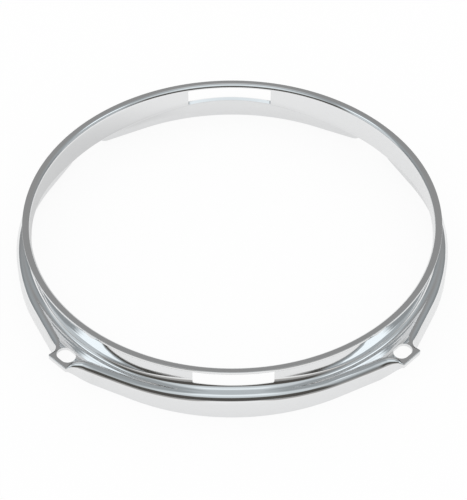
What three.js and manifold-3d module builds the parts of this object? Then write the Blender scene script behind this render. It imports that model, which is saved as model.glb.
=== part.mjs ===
// Pressed steel hoop for a small drum: a turned-out lip, an upright wall, a narrow shelf and a
// downward skirt, with four slotted ears and two snare gates. One strip of sheet steel makes it all.
// Millimetres, +Z up. The origin is the centre of the circle that the skirt stands on.
// The front gate faces -Y, the rear gate +Y, and the ears lie midway between the axes.
import * as THREE from 'three';
import { mergeVertices } from 'three/addons/utils/BufferGeometryUtils.js';
import Module from 'manifold-3d';

// Ring
const sheet = 1.6;
const boreRadius = 101;
const hoopHeight = 27;
const lipWidth = 2.4;
const lipBend = 0.9;

// Shelf and skirt. The shelf is highest and slopes outward in the middle of a span. From the share of
// the half span where its dip starts, it turns flat towards the ears. Its width is from wall to skirt.
const shelfWidth = 6.8;
const shelfDrop = 13.1;
const shelfSlope = THREE.MathUtils.degToRad(28);
const dipStartShare = 0.2;
const earDrop = 16;
const flareBend = 5.5;
const earFlareBend = 2.6;
const skirtBend = 5;
const neckBend = 4;
const tightBend = 0.3;

// Ears, seen from above. A straight flank leaves the skirt's circle at an angle from the ear's middle and
// runs to a hollow neck beside the ear, which is tight at the shelf and wider at the foot.
const earCount = 4;
const earLength = 8.9;
const earHalfWidth = 6.4;
const earCorner = 0.8;
const innerCorner = 0.2;
const neckRadius = 6;
const footNeckRadius = 10;
const flankAngle = THREE.MathUtils.degToRad(18.5);

// Rim of the ears, and the stretch over which the lower edge falls from it to the foot
const earRim = 2.7;
const earEdgeBend = 0.4;
const footFall = 11;

// Slots for the tension rods, their middle a little way in from the ear's tip
const slotInset = 5.9;
const slotLength = 10;
const slotWidth = 7.5;

// Snare gates. A sill's outer edge stands out from the wall, where the flare has begun.
const frontGateWidth = 37.6;
const frontGateShift = 0.95;
const rearGateWidth = 45.4;
const gateTopDrop = 2.2;
const gateSillDrop = 10.7;
const gateCorner = 0.8;
const sillReach = 1.2;
const sillSlope = THREE.MathUtils.degToRad(39);
const cutOverrun = 6;

// Facets of each stretch
const bendSteps = 3;
const skirtBendSteps = 4;
const cornerSteps = 3;
const neckSteps = 7;
const flankSteps = 4;
const spanSteps = 8;
const slotSteps = 12;
const sillSteps = 8;
const gateCornerSteps = 4;

// Values that follow from the sizes above
const wallRadius = boreRadius + sheet;
const lipRadius = wallRadius + lipWidth;
const skirtRadius = wallRadius + shelfWidth;
const earReach = skirtRadius + earLength;
const slotRadius = earReach - slotInset;
const earTop = hoopHeight - earDrop;
const quarter = Math.PI / 2;
const halfSector = Math.PI / earCount;
const up = new THREE.Vector3(0, 0, 1);
const flankNormal = new THREE.Vector2(Math.sin(flankAngle), Math.cos(flankAngle));
const flankAlong = new THREE.Vector2(Math.cos(flankAngle), -Math.sin(flankAngle));

const chrome = new THREE.MeshStandardMaterial({ color: 0xd5d8da, roughness: 0.08, metalness: 1 });

function smooth(share) {
  const t = Math.min(Math.max(share, 0), 1);
  return t * t * (3 - 2 * t);
}

function mix(from, to, share) {
  return from + (to - from) * share;
}

// Points of an arc about (cx, cy), both ends included
function arc(cx, cy, radius, from, to, steps) {
  return Array.from({ length: steps + 1 }, (_, i) => {
    const angle = mix(from, to, i / steps);
    return [cx + radius * Math.cos(angle), cy + radius * Math.sin(angle)];
  });
}

// Centre of a hollow neck of the given radius that is tangent to the ear's rounded corner and to the
// flank. x runs along the rim and y outward through the ear.
function neckCentre(corner, radius) {
  const out = skirtRadius + radius;
  const aside = out - corner.dot(flankNormal);
  const along = corner.dot(flankAlong) + Math.sqrt((earCorner + radius) ** 2 - aside ** 2);
  return flankNormal.clone().multiplyScalar(out).addScaledVector(flankAlong, along);
}

// Outline of the shelf's edge from the middle of an ear to the middle of the next span, as stations
// that each have a point and an outward normal. The first neck station keeps clear of the inner corner.
function outline() {
  const corner = new THREE.Vector2(earHalfWidth - earCorner, earReach - earCorner);
  const neck = neckCentre(corner, neckRadius);
  const lean = Math.atan2(corner.y - neck.y, neck.x - corner.x);
  const neckStart = 2 * quarter - lean;
  const neckFirst = neckStart + (sheet + 2 * tightBend) / neckRadius;
  const neckEnd = 3 * quarter - flankAngle;
  const tipNormal = new THREE.Vector2(0, 1);
  const stations = [{ point: new THREE.Vector2(0, earReach), normal: tipNormal }];
  const neckNormal = neck.clone().sub(corner).normalize();
  const mitre = tipNormal.clone().add(neckNormal).divideScalar(1 + tipNormal.dot(neckNormal));
  for (const place of arc(corner.x, corner.y, earCorner, quarter, -lean, cornerSteps)) {
    const point = new THREE.Vector2(...place);
    stations.push({ point, normal: point.clone().sub(corner).normalize(), corner, mitre });
  }
  const cornerEnd = stations.length - 1;
  for (const place of arc(neck.x, neck.y, neckRadius, neckFirst, neckEnd, neckSteps)) {
    const point = new THREE.Vector2(...place);
    stations.push({ point, normal: neck.clone().sub(point).normalize() });
  }
  const neckLast = stations.length - 1;
  const flankStart = stations[neckLast].point;
  const flankEnd = flankNormal.clone().multiplyScalar(skirtRadius);
  for (let i = 1; i < flankSteps; i += 1) {
    stations.push({ point: flankStart.clone().lerp(flankEnd, i / flankSteps), normal: flankNormal });
  }
  for (const [y, x] of arc(0, 0, skirtRadius, flankAngle, halfSector, spanSteps)) {
    const point = new THREE.Vector2(x, y);
    stations.push({ point, normal: point.clone().normalize() });
  }
  return { stations, corner, cornerEnd, neckLast };
}

// How far the wide neck at the foot stands out from the shelf's edge at one station
function footSplay({ point, normal }, centre) {
  const toCentre = centre.clone().sub(point);
  const along = toCentre.dot(normal);
  const inside = along ** 2 - toCentre.lengthSq() + footNeckRadius ** 2;
  const short = toCentre.dot(flankAlong) > 0;
  return short && inside > 0 ? Math.max(along - Math.sqrt(inside), 0) : 0;
}

// Share of their full size that the two bends beside the shelf have where it is too narrow for both
function bendFit(flare, bend, slope) {
  return Math.min(1, shelfWidth / ((flare + bend) * (1 - Math.sin(slope))));
}

// The outline's stations with the shelf's height and slope, the bends, the foot and its splay at each one
function shapedStations() {
  const { stations, corner, cornerEnd, neckLast } = outline();
  const footCentre = neckCentre(corner, footNeckRadius);
  const neckAzimuth = Math.atan2(stations[neckLast].point.x, stations[neckLast].point.y);
  const lengths = [0];
  for (let i = 1; i < stations.length; i += 1) {
    lengths.push(lengths[i - 1] + stations[i].point.distanceTo(stations[i - 1].point));
  }
  return stations.map((station, i) => {
    const { x, y } = station.point;
    const azimuth = i < neckLast ? neckAzimuth * lengths[i] / lengths[neckLast] : Math.atan2(x, y);
    const dip = smooth((azimuth / halfSector - dipStartShare) / (1 - dipStartShare));
    const shelf = hoopHeight - mix(earDrop, shelfDrop, dip);
    const slope = shelfSlope * dip;
    const past = Math.min(Math.max(lengths[i] - lengths[cornerEnd], 0) / footFall, 1);
    const share = Math.sin(quarter * past);
    const flare = mix(earFlareBend, flareBend, dip);
    const bend = mix(earEdgeBend, mix(neckBend, skirtBend, dip), share);
    const fit = bendFit(flare, bend, slope);
    return {
      ...station,
      azimuth,
      shelf,
      slope,
      flare: flare * fit,
      bend: bend * fit,
      foot: mix(shelf - earRim, 0, share),
      splay: i > cornerEnd ? footSplay(station, footCentre) : 0,
    };
  });
}

// Section of the wall side as [radius, height] pairs: the outer face from the rim of the lip down to
// the end of the flare at the shelf, and the inner face from under the shelf up to the lip's top
function wallSections({ slope, flare }, flareEnd) {
  const lipUnder = hoopHeight - sheet;
  const shelfAngle = 3 * quarter - slope;
  const flareCentre = [wallRadius + flare, flareEnd + flare * Math.cos(slope)];
  const lipRound = lipBend + sheet;
  const outer = [
    [lipRadius, hoopHeight],
    [lipRadius, lipUnder],
    ...arc(wallRadius + lipBend, lipUnder - lipBend, lipBend, quarter, 2 * quarter, bendSteps),
    ...arc(...flareCentre, flare, 2 * quarter, shelfAngle, bendSteps),
  ];
  const inner = [
    ...arc(...flareCentre, flare + sheet, shelfAngle, 2 * quarter, bendSteps),
    ...arc(boreRadius + lipRound, hoopHeight - lipRound, lipRound, 2 * quarter, quarter, bendSteps),
  ];
  return { outer, inner };
}

// Lean of a straight skirt that runs up from a foot and touches a bend, 0 for an upright one
function skirtLean([centreX, centreZ], bend, [footX, footZ]) {
  const across = centreX - footX;
  const rise = centreZ - footZ;
  return Math.acos(bend / Math.hypot(across, rise)) - Math.atan2(rise, across);
}

// Section of the skirt at one station as [distance in from the outline, height] pairs, from the
// shelf over the bend, down to the lower edge and back up the inside
function skirtSection({ shelf, slope, foot, bend, splay }) {
  const innerBend = Math.max(bend - sheet, tightBend);
  const inset = sheet + innerBend;
  const centre = [bend, shelf - bend * Math.cos(slope)];
  const innerCentre = [inset, shelf - inset * Math.cos(slope)];
  const lean = skirtLean(centre, bend, [-splay, foot]);
  const innerFoot = [sheet / Math.cos(lean) - splay, foot];
  const innerLean = skirtLean(innerCentre, innerBend, innerFoot);
  return [
    ...arc(...centre, bend, quarter + slope, 2 * quarter - lean, skirtBendSteps),
    [-splay, foot],
    innerFoot,
    ...arc(...innerCentre, innerBend, 2 * quarter - innerLean, quarter + slope, bendSteps),
  ];
}

// Point at a distance in from the outline. Inside the ear's rounded corner the sheet's inner face has
// its own tight corner, which keeps the sheet's thickness.
function insetPoint({ point, normal, corner, mitre }, inset) {
  const over = inset + innerCorner - earCorner;
  if (!corner || over <= 0) return point.clone().addScaledVector(normal, -inset);
  return corner.clone().addScaledVector(mitre, -over).addScaledVector(normal, innerCorner);
}

// One closed loop of points round the sheet at a station, in the ear's own axes
function stationLoop(station) {
  const { azimuth, shelf, slope, flare } = station;
  const onRing = ([radius, z]) => [radius * Math.sin(azimuth), radius * Math.cos(azimuth), z];
  const onSkirt = ([inset, z]) => [...insetPoint(station, inset).toArray(), z];
  const skirt = skirtSection(station).map(onSkirt);
  const [startX, startY] = onRing([wallRadius + flare * (1 - Math.sin(slope)), shelf]);
  const flat = Math.hypot(skirt[0][0] - startX, skirt[0][1] - startY);
  const { outer, inner } = wallSections(station, shelf + flat * Math.tan(slope));
  return [...outer.map(onRing), ...skirt, ...inner.map(onRing)];
}

// All the loops round the hoop: each sector is the half outline mirrored and then repeated
function hoopLoops() {
  const loops = shapedStations().map(stationLoop);
  const mirrored = loops.slice(1).reverse().map((loop) => loop.map(([x, y, z]) => [-x, y, z]));
  const sector = [...mirrored, ...loops.slice(0, -1)];
  const all = [];
  for (let ear = 0; ear < earCount; ear += 1) {
    const turn = -halfSector * (2 * ear + 1);
    for (const loop of sector) {
      all.push(loop.map((place) => new THREE.Vector3(...place).applyAxisAngle(up, turn)));
    }
  }
  return all;
}

// Closed surface that joins each loop to the next. A round one joins the last loop to the first, and
// any other has a flat end at both.
function sweptGeometry(loops, round) {
  const size = loops[0].length;
  const last = (loops.length - 1) * size;
  const positions = loops.flat().flatMap((p) => [p.x, p.y, p.z]);
  const index = [];
  loops.slice(round ? 0 : 1).forEach((_, i) => {
    const here = i * size;
    const next = ((i + 1) % loops.length) * size;
    for (let j = 0; j < size; j += 1) {
      const k = (j + 1) % size;
      index.push(here + j, next + k, here + k, here + j, next + j, next + k);
    }
  });
  for (let j = 1; !round && j < size - 1; j += 1) {
    index.push(0, j, j + 1, last, last + j + 1, last + j);
  }
  const geometry = new THREE.BufferGeometry();
  geometry.setAttribute('position', new THREE.Float32BufferAttribute(positions, 3));
  geometry.setIndex(index);
  return geometry;
}

// Punch for one rod slot: a slot with round ends, its long side across the ear
function slotPunch(angle) {
  const end = slotWidth / 2;
  const run = slotLength / 2 - end;
  const shape = new THREE.Shape();
  shape.absarc(run, 0, end, -quarter, quarter, false);
  shape.absarc(-run, 0, end, quarter, 3 * quarter, false);
  const depth = sheet + earRim + 2 * cutOverrun;
  const punch = new THREE.ExtrudeGeometry(shape, { depth, bevelEnabled: false, curveSegments: slotSteps });
  punch.translate(0, slotRadius, earTop - depth + cutOverrun);
  return punch.rotateZ(angle);
}

// Punch for one snare gate: a rounded rectangle driven through the wall on the +Y side, its middle
// moved aside by the shift. Its sill is cut square to the flare, all the way along.
function gatePunch(width, shift, angle) {
  const side = width / 2 - gateCorner;
  const low = hoopHeight - gateSillDrop + gateCorner;
  const high = hoopHeight - gateTopDrop - gateCorner;
  const straight = Array.from({ length: sillSteps - 1 }, (_, i) => (
    [mix(-side, side, (i + 1) / sillSteps), -gateCorner]));
  const edge = [
    ...arc(-side, 0, gateCorner, 2 * quarter, 3 * quarter, gateCornerSteps),
    ...straight,
    ...arc(side, 0, gateCorner, 3 * quarter, 4 * quarter, gateCornerSteps),
  ];
  const loops = edge.map(([along, down]) => {
    const x = along + shift;
    const [outerY, innerY] = [wallRadius + cutOverrun, boreRadius - cutOverrun];
    const sill = (y) => low + down + (Math.hypot(x, y) - wallRadius - sillReach) * Math.tan(sillSlope);
    return [
      new THREE.Vector3(x, outerY, high - down),
      new THREE.Vector3(x, outerY, sill(outerY)),
      new THREE.Vector3(x, innerY, sill(innerY)),
      new THREE.Vector3(x, innerY, high - down),
    ];
  });
  return sweptGeometry(loops, false).rotateZ(angle);
}

function toManifold(wasm, geometry) {
  const bare = geometry.clone();
  bare.deleteAttribute('normal');
  bare.deleteAttribute('uv');
  const merged = mergeVertices(bare);
  return new wasm.Manifold(new wasm.Mesh({
    numProp: 3,
    vertProperties: new Float32Array(merged.attributes.position.array),
    triVerts: new Uint32Array(merged.index.array),
  }));
}

function toGeometry(solid) {
  const mesh = solid.getMesh();
  const geometry = new THREE.BufferGeometry();
  geometry.setAttribute('position', new THREE.Float32BufferAttribute(mesh.vertProperties, mesh.numProp));
  geometry.setIndex(new THREE.Uint32BufferAttribute(mesh.triVerts, 1));
  geometry.computeVertexNormals();
  return geometry;
}

function hoopGeometry(wasm) {
  let solid = toManifold(wasm, sweptGeometry(hoopLoops(), true));
  for (let ear = 0; ear < earCount; ear += 1) {
    solid = solid.subtract(toManifold(wasm, slotPunch(halfSector * (2 * ear + 1))));
  }
  solid = solid.subtract(toManifold(wasm, gatePunch(rearGateWidth, 0, 0)));
  solid = solid.subtract(toManifold(wasm, gatePunch(frontGateWidth, frontGateShift, Math.PI)));
  return toGeometry(solid);
}

const wasm = await Module();
wasm.setup();

const drumHoop = new THREE.Group();
const hoop = new THREE.Mesh(hoopGeometry(wasm), chrome);
hoop.name = 'hoop';
drumHoop.add(hoop);

export default drumHoop;
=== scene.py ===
"""Bright plated drum hoop: a pressed steel ring with a turned-out lip, a dipping shelf, a skirt and
four slotted ears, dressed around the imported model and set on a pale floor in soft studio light."""

import math

import bmesh
import bpy
from bpy.props import FloatProperty, FloatVectorProperty, IntProperty, PointerProperty
from mathutils import Matrix, Vector


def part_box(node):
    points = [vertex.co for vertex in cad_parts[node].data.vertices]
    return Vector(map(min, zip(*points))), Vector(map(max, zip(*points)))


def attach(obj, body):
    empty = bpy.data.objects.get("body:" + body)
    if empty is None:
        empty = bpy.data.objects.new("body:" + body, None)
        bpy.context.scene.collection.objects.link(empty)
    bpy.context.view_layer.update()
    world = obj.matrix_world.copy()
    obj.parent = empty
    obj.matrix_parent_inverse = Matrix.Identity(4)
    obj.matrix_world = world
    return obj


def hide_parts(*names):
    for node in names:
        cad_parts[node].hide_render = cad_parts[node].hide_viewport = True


bl_info = {
    "name": "Drum Hoop",
    "version": (1, 0, 0),
    "blender": (4, 5, 0),
    "location": "View3D > Sidebar > Drum Hoop",
    "description": "Builds a pressed drum hoop with slotted ears and snare gates, and its studio",
    "category": "Object",
}

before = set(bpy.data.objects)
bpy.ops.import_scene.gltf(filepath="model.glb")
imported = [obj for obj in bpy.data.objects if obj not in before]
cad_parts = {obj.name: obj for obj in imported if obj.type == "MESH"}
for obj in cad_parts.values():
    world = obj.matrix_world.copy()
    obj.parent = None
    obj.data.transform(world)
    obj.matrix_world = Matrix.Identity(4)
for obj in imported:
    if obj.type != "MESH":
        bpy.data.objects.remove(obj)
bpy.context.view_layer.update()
hoop_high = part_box("hoop")[1]

MM = 0.001
QUARTER = math.pi / 2
EAR_COUNT = 4
HALF_SECTOR = math.pi / EAR_COUNT

# Share of half a span, from the ear's middle, that keeps the ear's level and bends.
DIP_START = 0.2

# Facets in the flat and rounded stretches of the section and of the punches.
EDGE_STEPS = 3
LIP_UNDER_STEPS = 3
LIP_TOP_STEPS = 4
WALL_STEPS = 6
SHELF_STEPS = 8
SKIRT_STEPS = 8
SLOT_STEPS = 24
GATE_CORNER_STEPS = 8
SILL_STEPS = 48
SHARP_ANGLE = math.radians(40)

# Grain of the plating: how fine each pattern is, per metre, and how deep its bumps are, in millimetres.
# The specks change the roughness by a range. The drawn lines of the press set in at the shelf, between
# two radii in metres.
LINE_SCALE = 2600
LINE_DEPTH = 0.004
PRESS_SCALE = 620
PRESS_DEPTH = 0.2
WAVE_SCALE = 60.0
WAVE_DEPTH = 0.03
SPECK_SCALE = 900.0
SPECK_RANGE = 0.04
SHELF_START = (0.1035, 0.105)

# The room that gloss sees, one layer over the other. Each has its level's name, then the compass
# directions and the heights between which it lies, in degrees, each with the softness of the edges.
# Direction 0 is in front of the hoop and 90 is to its right.
SIDES = (-128, 125, 20)
ROOM = (
    ("side", SIDES, (22.5, 200, 7.5)),
    ("top", (-200, 200, 4), (74, 200, 4)),
    ("top", (-50, 56, 12), (58, 120, 8)),
    ("strip", (-56, 62, 12), (33, 60, 6)),
    ("crest", (-40, 38, 10), (49, 64, 4)),
    ("dark", (-62, 48, 5), (-90, 31, 4)),
    ("left_box", (-98, -66, 4), (-90, 36, 6)),
    ("panel", (-99, -70, 5), (39, 52, 3)),
    ("right_box", (58, 100, 4), (-90, 36, 6)),
    ("panel", (65, 99, 5), (39, 52, 3)),
)

# Stretches of the floor, in metres, over which the painted shade that gloss sees on the floor fades in or
# out: the painted contact shadow by the hoop, the painted shadow inside on the left, and the painted dark
# in front. The gap in the middle of the painted apron shade is in metres squared.
FAR_EDGE = (0.122, 0.15)
INSIDE_EDGE = (0.101, 0.105)
LEFT_EDGE = (0.015, 0.06)
FRONT_EDGE = (0.03, 0.1)
APRON_EDGE = (0.128, 0.14)
APRON_GAP = (0.0004, 0.0012)
BEYOND_EDGE = (0.155, 0.225)
FLOOR_REACH = 6

# The camera's place, in lip radii from the middle of the lip's top, and its lens.
CAMERA_TILT = math.radians(45.179)
CAMERA_TURN = math.radians(-0.9)
CAMERA_DISTANCE = 7.2
CAMERA_ASIDE = 0.0062
CAMERA_BELOW = -0.1807
FOCAL_PIXELS = 1506.9
IMAGE_SIZE = (467, 500)
SENSOR = 36


def size_prop(name, description, default):
    """A length that a user may change, in metres."""
    return FloatProperty(name=name, description=description, default=default, unit="LENGTH", precision=5)


def level_prop(name, description, default):
    """A brightness that a user may change, where 1 is white."""
    return FloatProperty(name=name, description=description, default=default, min=0)


class HoopSizes(bpy.types.PropertyGroup):
    """Sizes of the pressed hoop."""
    height: size_prop("Height", "Height of the hoop from foot to lip", hoop_high[2])
    skirt_radius: size_prop("Skirt radius", "Radius of the skirt's outer face", hoop_high[0])
    sheet: size_prop("Sheet", "Thickness of the steel strip", 1.6 * MM)
    bore_radius: size_prop("Bore radius", "Radius of the wall's inner face", 101 * MM)
    lip_radius: size_prop("Lip radius", "Radius of the lip's rim", 105 * MM)
    lip_bend: size_prop("Lip bend", "Radius of the bend under the lip", 0.9 * MM)
    shelf_drop: size_prop("Shelf drop", "Depth of the shelf's rim below the lip in mid-span", 13.1 * MM)
    ear_drop: size_prop("Ear drop", "Depth of the ears below the lip", 16 * MM)
    shelf_slope: FloatProperty(name="Shelf slope", description="Slope of the shelf in mid-span",
                               default=math.radians(28), subtype="ANGLE")
    flare_bend: size_prop("Flare bend", "Bend from wall to shelf in the middle of a span", 5.5 * MM)
    ear_flare_bend: size_prop("Ear flare bend", "Bend from wall to shelf at an ear", 2.6 * MM)
    skirt_bend: size_prop("Skirt bend", "Bend from shelf to skirt in the middle of a span", 5 * MM)
    neck_bend: size_prop("Neck bend", "Bend from shelf to skirt at a neck", 4 * MM)
    tight_bend: size_prop("Tight bend", "Smallest inside bend", 0.3 * MM)
    edge_round: size_prop("Edge round", "Rounding of the sheet's cut edges", 0.2 * MM)
    ear_reach: size_prop("Ear reach", "Distance from the hoop's axis to an ear's tip", 118.3 * MM)
    ear_half_width: size_prop("Ear half width", "Half the width of an ear's tip", 6.4 * MM)
    ear_corner: size_prop("Ear corner", "Rounding of an ear's corner", 0.8 * MM)
    inner_corner: size_prop("Inner corner", "Rounding inside an ear's corner", 0.2 * MM)
    neck_radius: size_prop("Neck radius", "Hollow beside an ear at the shelf", 6 * MM)
    foot_neck_radius: size_prop("Foot neck radius", "Hollow beside an ear at the foot", 10 * MM)
    flank_angle: FloatProperty(name="Flank angle", description="Where the flank leaves the skirt's circle",
                               default=math.radians(18.5), subtype="ANGLE")
    ear_rim: size_prop("Ear rim", "Depth of an ear's turned-down rim", 2.7 * MM)
    ear_edge_bend: size_prop("Ear edge bend", "Bend along an ear's rim", 0.4 * MM)
    foot_fall: size_prop("Foot fall", "Stretch over which the lower edge falls to the foot", 11 * MM)
    slot_radius: size_prop("Slot radius", "Distance from the hoop's axis to a slot's centre", 112.4 * MM)
    slot_length: size_prop("Slot length", "Length of a rod slot along the rim", 10 * MM)
    slot_width: size_prop("Slot width", "Width of a rod slot", 7.5 * MM)
    front_gate: size_prop("Front gate", "Width of the front snare gate", 37.6 * MM)
    front_shift: size_prop("Front shift", "How far the front gate sits off the middle", 0.95 * MM)
    rear_gate: size_prop("Rear gate", "Width of the rear snare gate", 45.4 * MM)
    gate_top: size_prop("Gate top", "Depth of a gate's top below the lip", 2.2 * MM)
    gate_sill: size_prop("Gate sill", "Depth of a gate's sill below the lip", 10.7 * MM)
    gate_corner: size_prop("Gate corner", "Rounding of a gate's corners", 0.8 * MM)
    sill_slope: FloatProperty(name="Sill slope", description="Slope of a gate's sill, square to the flare",
                              default=math.radians(39), subtype="ANGLE")
    sill_reach: size_prop("Sill reach", "How far a sill's outer edge stands out from the wall", 1.2 * MM)
    overrun: size_prop("Overrun", "How far a punch runs past the sheet", 6 * MM)
    bend_steps: IntProperty(name="Bend steps", description="Facets in each bend", default=10, min=3)
    neck_steps: IntProperty(name="Neck steps", description="Facets along each neck", default=26, min=6)
    flank_steps: IntProperty(name="Flank steps", description="Facets along each flank", default=16, min=4)
    span_steps: IntProperty(name="Span steps", description="Facets along the rest of half a span",
                            default=40, min=6)


class HoopLook(bpy.types.PropertyGroup):
    """Finish of the plating."""
    chrome: FloatVectorProperty(name="Chrome", description="Colour of the plating", subtype="COLOR", size=3,
                                default=(0.86, 0.865, 0.87), min=0, max=1)
    gloss: FloatProperty(name="Roughness", description="Roughness of the plating", default=0.06,
                         min=0, max=1, subtype="FACTOR")
    lines: FloatProperty(name="Drawn lines", description="Strength of the fine lines round the bends",
                         default=0.25, min=0, max=1, subtype="FACTOR")


class StudioLook(bpy.types.PropertyGroup):
    """Colours and levels of the studio."""
    floor: FloatVectorProperty(name="Floor", description="Colour of the floor", subtype="COLOR", size=3,
                               default=(0.95, 0.95, 0.95), min=0, max=1)
    white: FloatProperty(name="White", description="How far the camera sees the floor as pure white",
                         default=0.92, min=0, max=1, subtype="FACTOR")
    # Share of the painted floor light and shade that gloss sees in place of the lit paper.
    mirror: FloatProperty(name="Mirror", description="How far gloss sees the floor at its own level",
                          default=0.7, min=0, max=1, subtype="FACTOR")
    # Painted light and shade that reflections show of the floor: a painted contact shadow by the hoop, a
    # painted shadow inside the hoop on the left, the unshaded painted level farther out, and painted dark
    # shade close in front and far out in front.
    near_floor_shade: level_prop("Near floor", "Level that gloss shows of the floor by the hoop", 0.93)
    left_floor_shadow: level_prop("Left floor", "Level that gloss shows of the floor inside left", 0.68)
    far_floor: level_prop("Far floor", "Level that gloss shows of the floor farther out", 0.98)
    apron_shade: level_prop("Apron", "Level that gloss shows of the floor close in front", 0.2)
    front_floor_shade: level_prop("Front floor", "Level that gloss shows of the floor far out in front", 0.02)
    dome: level_prop("Dome", "Level of the plain dome on matt surfaces", 1)
    rear: level_prop("Rear", "Level that gloss shows behind the hoop", 0.3)
    top: level_prop("Top", "Level that gloss shows overhead", 0.56)
    side: level_prop("Side", "Level that gloss shows above the side boxes", 0.38)
    dark: level_prop("Dark", "Level of the dark room in front", 0.085)
    strip: level_prop("Strip", "Level of the soft strip high in front", 0.72)
    crest: level_prop("Crest", "Level of the strip's bright upper part", 1)
    left_box: level_prop("Left box", "Level of the soft light on the left", 0.7)
    right_box: level_prop("Right box", "Level of the soft light on the right", 0.52)
    panel: level_prop("Panel", "Level of the bright panel above each side light", 1.3)
    cool: FloatVectorProperty(name="Cool", description="Tint of the lit parts of the room", subtype="COLOR",
                              size=3, default=(0.9, 0.965, 1), min=0, max=1)
    warm: FloatVectorProperty(name="Warm", description="Tint of the dark room", subtype="COLOR",
                              size=3, default=(1, 0.95, 0.87), min=0, max=1)


class Socket:
    """One shader socket. Arithmetic on it adds Math nodes."""

    def __init__(self, graph, link):
        self.graph = graph
        self.link = link

    def math(self, operation, *values):
        return self.graph.node("ShaderNodeMath", {"operation": operation}, list(values))

    def __add__(self, other):
        return self.math("ADD", self, other)

    def __rsub__(self, other):
        return self.math("SUBTRACT", other, self)

    def __mul__(self, other):
        return self.math("MULTIPLY", self, other)

    def __neg__(self):
        return self.math("MULTIPLY", self, -1)

    __radd__ = __add__
    __rmul__ = __mul__


class Graph:
    """Node tree of a material or a world, filled from one method."""

    def __init__(self, owner):
        owner.use_nodes = True
        self.tree = owner.node_tree
        self.tree.nodes.clear()

    def node(self, kind, settings=None, inputs=None, output=0):
        """Adds a node: its settings are set first, then its sockets, by place or by name.
        Gives the output socket, or a list of them where output is a tuple."""
        made = self.tree.nodes.new(kind)
        for key, value in (settings or {}).items():
            setattr(made, key, value)
        pairs = inputs.items() if isinstance(inputs, dict) else enumerate(inputs or [])
        for key, value in pairs:
            if isinstance(value, Socket):
                self.tree.links.new(value.link, made.inputs[key])
            else:
                made.inputs[key].default_value = value
        if isinstance(output, tuple):
            return [Socket(self, made.outputs[k]) for k in output]
        return Socket(self, made.outputs[output]) if made.outputs else None

    def parts(self, space):
        """The three coordinates of a texture space as sockets."""
        place = self.node("ShaderNodeTexCoord", output=space)
        return self.node("ShaderNodeSeparateXYZ", inputs=[place], output=(0, 1, 2))

    def rays(self, *kinds):
        """Whether a ray is of each of these kinds."""
        return self.node("ShaderNodeLightPath", output=kinds)

    def mix(self, factor, first, second):
        """Mixes two colours."""
        first, second = (c if isinstance(c, Socket) else (*c, 1) for c in (first, second))
        return self.node("ShaderNodeMix", {"data_type": "RGBA"}, {0: factor, 6: first, 7: second}, output=2)

    def scale(self, vector, factor):
        """Multiplies a colour or a vector by a level."""
        return self.node("ShaderNodeVectorMath", {"operation": "SCALE"}, {0: vector, 3: factor})


def smooth(share):
    """Smooth rise from 0 to 1."""
    t = min(max(share, 0), 1)
    return t * t * (3 - 2 * t)


def mix(start, end, share):
    """The value at a share of the way between two others."""
    return start + (end - start) * share


def arc(cx, cy, radius, start, end, steps):
    """Points of an arc about (cx, cy), both ends included."""
    angles = [mix(start, end, i / steps) for i in range(steps + 1)]
    return [(cx + radius * math.cos(a), cy + radius * math.sin(a)) for a in angles]


def between(first, last, steps):
    """Points inside a straight stretch, both ends left out."""
    shares = [i / steps for i in range(1, steps)]
    return [(mix(first[0], last[0], t), mix(first[1], last[1], t)) for t in shares]


def flank_axes(sizes):
    """Outward normal of an ear's straight flank, and its direction away from the ear."""
    sine, cosine = math.sin(sizes.flank_angle), math.cos(sizes.flank_angle)
    return Vector((sine, cosine)), Vector((cosine, -sine))


def neck_centre(sizes, corner, radius):
    """Centre of a hollow neck that is tangent to the ear's corner and to the flank."""
    normal, along = flank_axes(sizes)
    out = sizes.skirt_radius + radius
    aside = out - corner.dot(normal)
    reach = corner.dot(along) + math.sqrt((sizes.ear_corner + radius) ** 2 - aside ** 2)
    return normal * out + along * reach


def outline(sizes):
    """Stations along the shelf's edge from the middle of an ear to the middle of the next span."""
    corner = Vector((sizes.ear_half_width - sizes.ear_corner, sizes.ear_reach - sizes.ear_corner))
    neck = neck_centre(sizes, corner, sizes.neck_radius)
    lean = math.atan2(corner.y - neck.y, neck.x - corner.x)
    neck_first = 2 * QUARTER - lean + (sizes.sheet + 2 * sizes.tight_bend) / sizes.neck_radius
    neck_end = 3 * QUARTER - sizes.flank_angle
    tip_normal = Vector((0, 1))
    neck_normal = (neck - corner).normalized()
    mitre = (tip_normal + neck_normal) / (1 + tip_normal.dot(neck_normal))
    stations = [{"point": Vector((x, sizes.ear_reach)), "normal": tip_normal} for x in (0, corner.x / 2)]
    for place in arc(corner.x, corner.y, sizes.ear_corner, QUARTER, -lean, sizes.bend_steps):
        point = Vector(place)
        stations.append({"point": point, "normal": (point - corner).normalized(),
                         "corner": corner, "mitre": mitre})
    corner_end = len(stations) - 1
    for place in arc(neck.x, neck.y, sizes.neck_radius, neck_first, neck_end, sizes.neck_steps):
        point = Vector(place)
        stations.append({"point": point, "normal": (neck - point).normalized()})
    neck_last = len(stations) - 1
    flank_normal, _ = flank_axes(sizes)
    flank_end = flank_normal * sizes.skirt_radius
    for place in between(stations[neck_last]["point"], flank_end, sizes.flank_steps):
        stations.append({"point": Vector(place), "normal": flank_normal})
    for y, x in arc(0, 0, sizes.skirt_radius, sizes.flank_angle, HALF_SECTOR, sizes.span_steps):
        point = Vector((x, y))
        stations.append({"point": point, "normal": point.normalized()})
    shape_stations(sizes, stations, corner, corner_end, neck_last)
    return stations


def foot_splay(sizes, station, centre):
    """How far the wider neck at the foot stands out from the shelf's edge."""
    point, normal = station["point"], station["normal"]
    to_centre = centre - point
    along = to_centre.dot(normal)
    inside = along ** 2 - to_centre.length_squared + sizes.foot_neck_radius ** 2
    if to_centre.dot(flank_axes(sizes)[1]) <= 0 or inside <= 0:
        return 0
    return max(along - math.sqrt(inside), 0)


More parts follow.
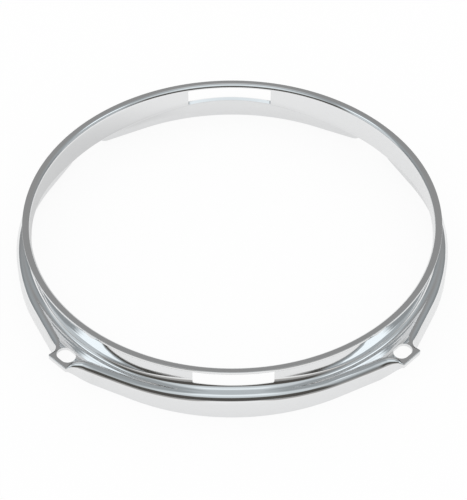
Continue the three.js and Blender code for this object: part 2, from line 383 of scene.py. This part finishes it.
def shape_stations(sizes, stations, corner, corner_end, neck_last):
    """Gives each station the shelf's height, its bends, the foot's height and the splay."""
    foot_centre = neck_centre(sizes, corner, sizes.foot_neck_radius)
    neck_azimuth = math.atan2(*stations[neck_last]["point"])
    dip_start = DIP_START * HALF_SECTOR
    lengths = [0]
    for before, here in zip(stations, stations[1:]):
        lengths.append(lengths[-1] + (here["point"] - before["point"]).length)
    for i, station in enumerate(stations):
        x, y = station["point"]
        azimuth = neck_azimuth * lengths[i] / lengths[neck_last] if i < neck_last else math.atan2(x, y)
        dip = smooth((azimuth - dip_start) / (HALF_SECTOR - dip_start))
        shelf = sizes.height - mix(sizes.ear_drop, sizes.shelf_drop, dip)
        slope = sizes.shelf_slope * dip
        skirt_bend = mix(sizes.neck_bend, sizes.skirt_bend, dip)
        past = min(max(lengths[i] - lengths[corner_end], 0) / sizes.foot_fall, 1)
        share = math.sin(QUARTER * past)
        station.update(
            azimuth=azimuth, shelf=shelf, slope=slope,
            flare=mix(sizes.ear_flare_bend, sizes.flare_bend, dip),
            foot=mix(shelf - sizes.ear_rim, 0, share),
            bend=mix(sizes.ear_edge_bend, skirt_bend, share),
            splay=foot_splay(sizes, station, foot_centre) if i > corner_end else 0)


def wall_section(sizes, station, flare_foot):
    """Outer and inner face of the wall side as (radius, height) pairs, with rounded cut edges. The flare
    meets the shelf at the height flare_foot."""
    steps, sheet, edge = sizes.bend_steps, sizes.sheet, sizes.edge_round
    wall, flare, turn = sizes.bore_radius + sheet, station["flare"], QUARTER - station["slope"]
    top, under = sizes.height, sizes.height - sheet
    rim = sizes.lip_radius - edge
    outer = arc(rim, top - edge, edge, QUARTER, 0, EDGE_STEPS)
    outer += arc(rim, under + edge, edge, 0, -QUARTER, EDGE_STEPS)
    lip = arc(wall + sizes.lip_bend, under - sizes.lip_bend, sizes.lip_bend, QUARTER, 2 * QUARTER, steps)
    centre = flare_foot + flare * math.sin(turn)
    sweep = arc(wall + flare, centre, flare, 2 * QUARTER, 2 * QUARTER + turn, steps)
    outer += between(outer[-1], lip[0], LIP_UNDER_STEPS) + lip
    outer += between(lip[-1], sweep[0], WALL_STEPS) + sweep
    round_lip = sizes.lip_bend + sheet
    inner = arc(wall + flare, centre, flare + sheet, 2 * QUARTER + turn, 2 * QUARTER, steps)
    crown = arc(sizes.bore_radius + round_lip, top - round_lip, round_lip, 2 * QUARTER, QUARTER, steps)
    inner += between(inner[-1], crown[0], WALL_STEPS) + crown
    inner += between(crown[-1], (rim, top), LIP_TOP_STEPS)
    return outer, inner


def skirt_tilt(centre, bend, foot):
    """Angle at which a line from the foot touches the bend, 0 for an upright skirt."""
    dx, dz = centre[0] - foot[0], centre[1] - foot[1]
    return math.acos(bend / math.hypot(dx, dz)) - math.atan2(dz, dx)


def skirt_section(sizes, station):
    """Skirt as (distance in from the outline, height) pairs, with a rounded lower edge."""
    shelf, foot, bend, splay = (station[k] for k in ("shelf", "foot", "bend", "splay"))
    sheet, steps, edge, turn = sizes.sheet, sizes.bend_steps, sizes.edge_round, QUARTER - station["slope"]
    inner_bend = max(bend - sheet, sizes.tight_bend)
    inset = sheet + inner_bend
    centre = (bend, shelf - bend * math.sin(turn))
    inner_centre = (inset, shelf - inset * math.sin(turn))
    tilt = skirt_tilt(centre, bend, (-splay, foot))
    thick = sheet / math.cos(tilt)
    inner_tilt = skirt_tilt(inner_centre, inner_bend, (thick - splay, foot))
    outer = arc(*centre, bend, 2 * QUARTER - turn, 2 * QUARTER - tilt, steps)
    sill = arc(edge - splay, foot + edge, edge, 2 * QUARTER, 3 * QUARTER, EDGE_STEPS)
    sill += arc(thick - edge - splay, foot + edge, edge, 3 * QUARTER, 4 * QUARTER, EDGE_STEPS)
    inner = arc(*inner_centre, inner_bend, 2 * QUARTER - inner_tilt, 2 * QUARTER - turn, steps)
    outer += between(outer[-1], sill[0], SKIRT_STEPS)
    return outer + sill + between(sill[-1], inner[0], SKIRT_STEPS) + inner


def inset_point(sizes, station, inset):
    """Point at a distance in from the outline, with a tight corner inside the ear's corner."""
    corner, normal = station.get("corner"), station["normal"]
    over = inset + sizes.inner_corner - sizes.ear_corner
    if corner is None or over <= 0:
        return station["point"] - normal * inset
    return corner - station["mitre"] * over + normal * sizes.inner_corner


def station_loop(sizes, station):
    """One closed loop of points round the sheet, in the ear's own axes."""
    sine, cosine = math.sin(station["azimuth"]), math.cos(station["azimuth"])
    skirt = [Vector((*inset_point(sizes, station, inset), z)) for inset, z in skirt_section(sizes, station)]
    slope = station["slope"]
    flare_end = sizes.bore_radius + sizes.sheet + station["flare"] * (1 - math.sin(slope))
    reach = (skirt[0].xy - Vector((flare_end * sine, flare_end * cosine))).length
    outer, inner = wall_section(sizes, station, station["shelf"] + reach * math.tan(slope))
    wall = [Vector((radius * sine, radius * cosine, z)) for radius, z in outer]
    bore = [Vector((radius * sine, radius * cosine, z)) for radius, z in inner]
    shares = [i / SHELF_STEPS for i in range(1, SHELF_STEPS)]
    shelf = [wall[-1].lerp(skirt[0], share) for share in shares]
    under = [skirt[-1].lerp(bore[0], share) for share in shares]
    return wall + shelf + skirt + under + bore[:-1]


def loop_mesh(name, loops, is_round=False):
    """Closed mesh that joins each loop to the next, round to the first one or with a flat end at both."""
    size, count = len(loops[0]), len(loops)
    faces = []
    for i in range(count if is_round else count - 1):
        here, after = i * size, (i + 1) % count * size
        for j in range(size):
            k = (j + 1) % size
            faces.append((here + j, after + j, after + k, here + k))
    if not is_round:
        faces += [tuple(range(size)), tuple(reversed(range((count - 1) * size, count * size)))]
    mesh = bpy.data.meshes.new(name)
    mesh.from_pydata([place for loop in loops for place in loop], [], faces)
    mesh.validate()
    return bpy.data.objects.new(name, mesh)


def hoop_loops(sizes):
    """All the loops round the ring: a sector is the half outline mirrored, and each ear has one."""
    loops = [station_loop(sizes, station) for station in outline(sizes)]
    flipped = [[Vector((-p.x, p.y, p.z)) for p in loop] for loop in reversed(loops[1:])]
    placed = []
    for ear in range(EAR_COUNT):
        turn = Matrix.Rotation(-HALF_SECTOR * (2 * ear + 1), 3, "Z")
        placed += [[turn @ p for p in loop] for loop in flipped + loops[:-1]]
    return placed


def slot_punch(sizes, index):
    """Punch for one rod slot, its long side across the ear."""
    end, run = sizes.slot_width / 2, (sizes.slot_length - sizes.slot_width) / 2
    profile = arc(run, 0, end, -QUARTER, QUARTER, SLOT_STEPS)
    profile += arc(-run, 0, end, QUARTER, 3 * QUARTER, SLOT_STEPS)
    top = sizes.height - sizes.ear_drop
    heights = top + sizes.overrun, top - sizes.sheet - sizes.ear_rim - sizes.overrun
    punch = loop_mesh(f"slot_punch_{index}", [[Vector((x, y, z)) for x, y in profile] for z in heights])
    turn = Matrix.Rotation(HALF_SECTOR * (2 * index + 1), 4, "Z")
    punch.data.transform(turn @ Matrix.Translation((0, sizes.slot_radius, 0)))
    return punch


def gate_punch(sizes, name, width, shift, angle):
    """Punch for one snare gate, driven through the wall with its sill square to the flare."""
    corner, side = sizes.gate_corner, width / 2 - sizes.gate_corner
    low = sizes.height - sizes.gate_sill + corner
    high = sizes.height - sizes.gate_top - corner
    wall = sizes.bore_radius + sizes.sheet
    ends = wall + sizes.overrun, sizes.bore_radius - sizes.overrun
    edge = arc(-side, 0, corner, 2 * QUARTER, 3 * QUARTER, GATE_CORNER_STEPS)
    edge += between((-side, -corner), (side, -corner), SILL_STEPS)
    edge += arc(side, 0, corner, 3 * QUARTER, 4 * QUARTER, GATE_CORNER_STEPS)
    loops = []
    for along, down in edge:
        x = along + shift
        reaches = (math.hypot(x, y) - wall - sizes.sill_reach for y in ends)
        outer, inner = (low + down + reach * math.tan(sizes.sill_slope) for reach in reaches)
        loops.append([Vector((x, ends[0], high - down)), Vector((x, ends[0], outer)),
                      Vector((x, ends[1], inner)), Vector((x, ends[1], high - down))])
    punch = loop_mesh(name, loops)
    punch.data.transform(Matrix.Rotation(angle, 4, "Z"))
    return punch


def ease(graph, value, low, high):
    """Rises smoothly from 0 at low to 1 at high."""
    return graph.node("ShaderNodeMapRange", {"interpolation_type": "SMOOTHSTEP"},
                      {"Value": value, "From Min": low, "From Max": high, "To Min": 0.0, "To Max": 1.0})


def from_axis(x, y):
    """Distance from the hoop's axis."""
    square = x * x + y * y
    return square.math("SQRT", square)


def chrome_material(look):
    """Bright plating with fine lines round the ring and a faint waviness from the press."""
    material = bpy.data.materials.new("bright_plating")
    graph = Graph(material)
    place = graph.node("ShaderNodeTexCoord", output="Object")
    x, y, z = graph.parts("Object")
    radius = from_axis(x, y)
    across = graph.node("ShaderNodeCombineXYZ", None, [radius * LINE_SCALE, z * LINE_SCALE, 0.0])
    lines = graph.node("ShaderNodeTexNoise", {"noise_dimensions": "3D"},
                       {"Vector": across, "Scale": 1.0, "Detail": 3.0, "Roughness": 0.6})
    press = graph.node("ShaderNodeCombineXYZ", None, [radius * PRESS_SCALE, z * PRESS_SCALE, 0.0])
    drawn = graph.node("ShaderNodeTexNoise", {"noise_dimensions": "3D"},
                       {"Vector": press, "Scale": 1.0, "Detail": 1.0, "Roughness": 0.5})
    waves = graph.node("ShaderNodeTexNoise", None, {"Vector": place, "Scale": WAVE_SCALE, "Detail": 1.0})
    specks = graph.node("ShaderNodeTexNoise", None, {"Vector": place, "Scale": SPECK_SCALE, "Detail": 4.0})
    shelf = ease(graph, radius, *SHELF_START)
    height = lines * (look.lines * LINE_DEPTH) + drawn * shelf * (look.lines * PRESS_DEPTH)
    height = height + waves * WAVE_DEPTH
    bump = graph.node("ShaderNodeBump", None, {"Strength": 1.0, "Distance": MM, "Height": height})
    rough = specks * SPECK_RANGE + (look.gloss - SPECK_RANGE / 2)
    shader = graph.node("ShaderNodeBsdfPrincipled", None,
                        {"Base Color": (*look.chrome, 1), "Metallic": 1.0,
                         "Roughness": rough, "Normal": bump})
    graph.node("ShaderNodeOutputMaterial", None, {"Surface": shader})
    return material


class HOOP_OT_make_hoop(bpy.types.Operator):
    """Makes the pressed and punched hoop in bright plating"""
    bl_idname = "drum_hoop.make_hoop"
    bl_label = "Make Hoop"

    def execute(self, context):
        sizes = context.scene.hoop_sizes
        raw = loop_mesh("hoop_raw", hoop_loops(sizes), is_round=True)
        punches = [slot_punch(sizes, i) for i in range(EAR_COUNT)]
        punches.append(gate_punch(sizes, "rear_gate_punch", sizes.rear_gate, 0, 0))
        punches.append(gate_punch(sizes, "front_gate_punch", sizes.front_gate, sizes.front_shift, math.pi))
        for thing in [raw] + punches:
            context.scene.collection.objects.link(thing)
        for punch in punches:
            cut = raw.modifiers.new(punch.name, "BOOLEAN")
            cut.operation, cut.solver, cut.object = "DIFFERENCE", "EXACT", punch
        graph = context.evaluated_depsgraph_get()
        mesh = bpy.data.meshes.new_from_object(raw.evaluated_get(graph))
        for thing in [raw] + punches:
            bpy.data.objects.remove(thing)
        mesh.name = "plated_hoop"
        mesh.materials.clear()
        mesh.materials.append(chrome_material(context.scene.hoop_look))
        mesh.shade_smooth()
        mesh.set_sharp_from_angle(angle=SHARP_ANGLE)
        hoop = bpy.data.objects.new("plated_hoop", mesh)
        context.scene.collection.objects.link(hoop)
        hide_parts("hoop")
        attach(hoop, "root")
        return {"FINISHED"}


def band(graph, value, low, high, soft):
    """1 between two angles in degrees and 0 outside, with soft edges."""
    low, high, soft = (math.radians(angle) for angle in (low, high, soft))
    return ease(graph, value, low - soft, low + soft) * (1 - ease(graph, value, high - soft, high + soft))


def over(level, mask, target):
    """Lays a level over another where the mask is 1."""
    return level + mask * (target - level)


def studio_world(look):
    """Plain dome for matt surfaces. Gloss shows a room by compass direction and height."""
    world = bpy.data.worlds.new("studio")
    graph = Graph(world)
    x, y, z = graph.parts("Generated")
    around = graph.node("ShaderNodeMath", {"operation": "ARCTAN2"}, [x, -y])
    above = z.math("ARCSINE", z)
    level, masks = look.rear, {}
    for name, compass, height in ROOM:
        masks[name] = band(graph, around, *compass) * band(graph, above, *height)
        level = over(level, masks[name], getattr(look, name))
    lit_tint = graph.mix(band(graph, around, *SIDES), (1, 1, 1), look.cool)
    tint = graph.mix(masks["dark"], lit_tint, look.warm)
    glossy, camera = graph.rays("Is Glossy Ray", "Is Camera Ray")
    dome = graph.node("ShaderNodeBackground", None, {"Color": (1, 1, 1, 1), "Strength": look.dome})
    room = graph.node("ShaderNodeBackground", None, {"Color": graph.scale(tint, level), "Strength": 1.0})
    white = graph.node("ShaderNodeBackground", None, {"Color": (1, 1, 1, 1), "Strength": 1.0})
    lit = graph.node("ShaderNodeMixShader", None, [glossy, dome, room])
    shown = graph.node("ShaderNodeMixShader", None, [camera, lit, white])
    graph.node("ShaderNodeOutputWorld", None, {"Surface": shown})
    return world


def floor_material(look):
    """Matt white paper that keeps the hoop's shadow. The camera and gloss each see it at a level of their
    own. Gloss sees an emission with painted shade: a painted contact shadow by the hoop, a greyer painted
    shadow inside the hoop on the left, and much darker painted shade out in front."""
    material = bpy.data.materials.new("studio_floor")
    graph = Graph(material)
    x, y = graph.parts("Object")[:2]
    radius = from_axis(x, y)
    # Masks of the painted shade: it lifts past the painted contact shadow, lies inside on the left, and
    # darkens the floor in front.
    out = ease(graph, radius, *FAR_EDGE)
    inside = ease(graph, -x, *LEFT_EDGE) * (1 - ease(graph, radius, *INSIDE_EDGE))
    front = ease(graph, -y, *FRONT_EDGE)
    apron_shade = front * ease(graph, radius, *APRON_EDGE) * ease(graph, x * x, *APRON_GAP)
    beyond_shade = front * ease(graph, radius, *BEYOND_EDGE)
    # Level and warm tint of the painted light and shade that gloss sees on the floor.
    painted_shade_level = over(over(look.near_floor_shade, out, look.far_floor), inside, look.left_floor_shadow)
    painted_shade_level = over(over(painted_shade_level, apron_shade, look.apron_shade), beyond_shade, look.front_floor_shade)
    painted_shade_tone = graph.scale(graph.mix(apron_shade, (1, 1, 1), look.warm), painted_shade_level)
    shader = graph.node("ShaderNodeBsdfPrincipled", None,
                        {"Base Color": (*look.floor, 1), "Roughness": 0.9, "Specular IOR Level": 0.0})
    pure = graph.node("ShaderNodeEmission", None, {"Color": (1, 1, 1, 1), "Strength": 1.0})
    # Emission that paints this light and shade into what gloss sees of the floor.
    painted_floor_reflection = graph.node("ShaderNodeEmission", None, {"Color": painted_shade_tone, "Strength": 1.0})
    camera, gloss, through = graph.rays("Is Camera Ray", "Is Glossy Ray", "Is Transmission Ray")
    seen = camera.math("MAXIMUM", camera, through)
    paper = graph.node("ShaderNodeMixShader", None, [seen * look.white, shader, pure])
    paper = graph.node("ShaderNodeMixShader", None, [gloss * look.mirror, paper, painted_floor_reflection])
    graph.node("ShaderNodeOutputMaterial", None, {"Surface": paper})
    return material


class HOOP_OT_make_studio(bpy.types.Operator):
    """Makes the floor, the light dome and the camera"""
    bl_idname = "drum_hoop.make_studio"
    bl_label = "Make Studio"

    def execute(self, context):
        scene = context.scene
        look = scene.studio_look
        scene.world = studio_world(look)
        scene.view_settings.view_transform = "Standard"
        made = bmesh.new()
        signs = ((-1, -1), (1, -1), (1, 1), (-1, 1))
        corners = [made.verts.new((x * FLOOR_REACH, y * FLOOR_REACH, 0)) for x, y in signs]
        made.faces.new(corners)
        mesh = bpy.data.meshes.new("floor")
        made.to_mesh(mesh)
        made.free()
        mesh.materials.append(floor_material(look))
        floor = bpy.data.objects.new("floor", mesh)
        scene.collection.objects.link(floor)
        self.place_camera(scene)
        return {"FINISHED"}

    def place_camera(self, scene):
        """Puts the camera where the photograph was taken from."""
        sizes = scene.hoop_sizes
        back = Vector((0, -math.cos(CAMERA_TILT), math.sin(CAMERA_TILT)))
        up = Vector((0, math.sin(CAMERA_TILT), math.cos(CAMERA_TILT)))
        right = Vector((1, 0, 0))
        spin = Matrix.Rotation(CAMERA_TURN, 3, "Z")
        place = back * CAMERA_DISTANCE + right * CAMERA_ASIDE + up * CAMERA_BELOW
        place = spin @ (place * sizes.lip_radius)
        camera = bpy.data.cameras.new("camera")
        camera.lens = FOCAL_PIXELS / max(IMAGE_SIZE) * SENSOR
        camera.sensor_width = SENSOR
        camera.clip_start, camera.clip_end = 0.01, 50
        thing = bpy.data.objects.new("camera", camera)
        axes = Matrix((spin @ right, spin @ up, spin @ back)).transposed().to_4x4()
        thing.matrix_world = Matrix.Translation(place + Vector((0, 0, sizes.height))) @ axes
        scene.collection.objects.link(thing)
        scene.camera = thing


class HOOP_PT_panel(bpy.types.Panel):
    """Lists the hoop's steps and sizes"""
    bl_idname = "HOOP_PT_panel"
    bl_label = "Drum Hoop"
    bl_space_type = "VIEW_3D"
    bl_region_type = "UI"
    bl_category = "Drum Hoop"

    def draw(self, context):
        for step in STEPS:
            self.layout.operator(step.bl_idname)
        for name in GROUPS:
            group = getattr(context.scene, name)
            box = self.layout.box()
            for key in group.__annotations__:
                box.prop(group, key)


STEPS = (HOOP_OT_make_hoop, HOOP_OT_make_studio)
GROUPS = {"hoop_sizes": HoopSizes, "hoop_look": HoopLook, "studio_look": StudioLook}


def register():
    for kind in (*GROUPS.values(), *STEPS, HOOP_PT_panel):
        bpy.utils.register_class(kind)
    for name, kind in GROUPS.items():
        setattr(bpy.types.Scene, name, PointerProperty(type=kind))


def unregister():
    for name in GROUPS:
        delattr(bpy.types.Scene, name)
    for kind in (HOOP_PT_panel, *reversed(STEPS), *reversed(GROUPS.values())):
        bpy.utils.unregister_class(kind)


def main():
    register()
    bpy.ops.drum_hoop.make_hoop()
    bpy.ops.drum_hoop.make_studio()


if __name__ == "__main__":
    main()
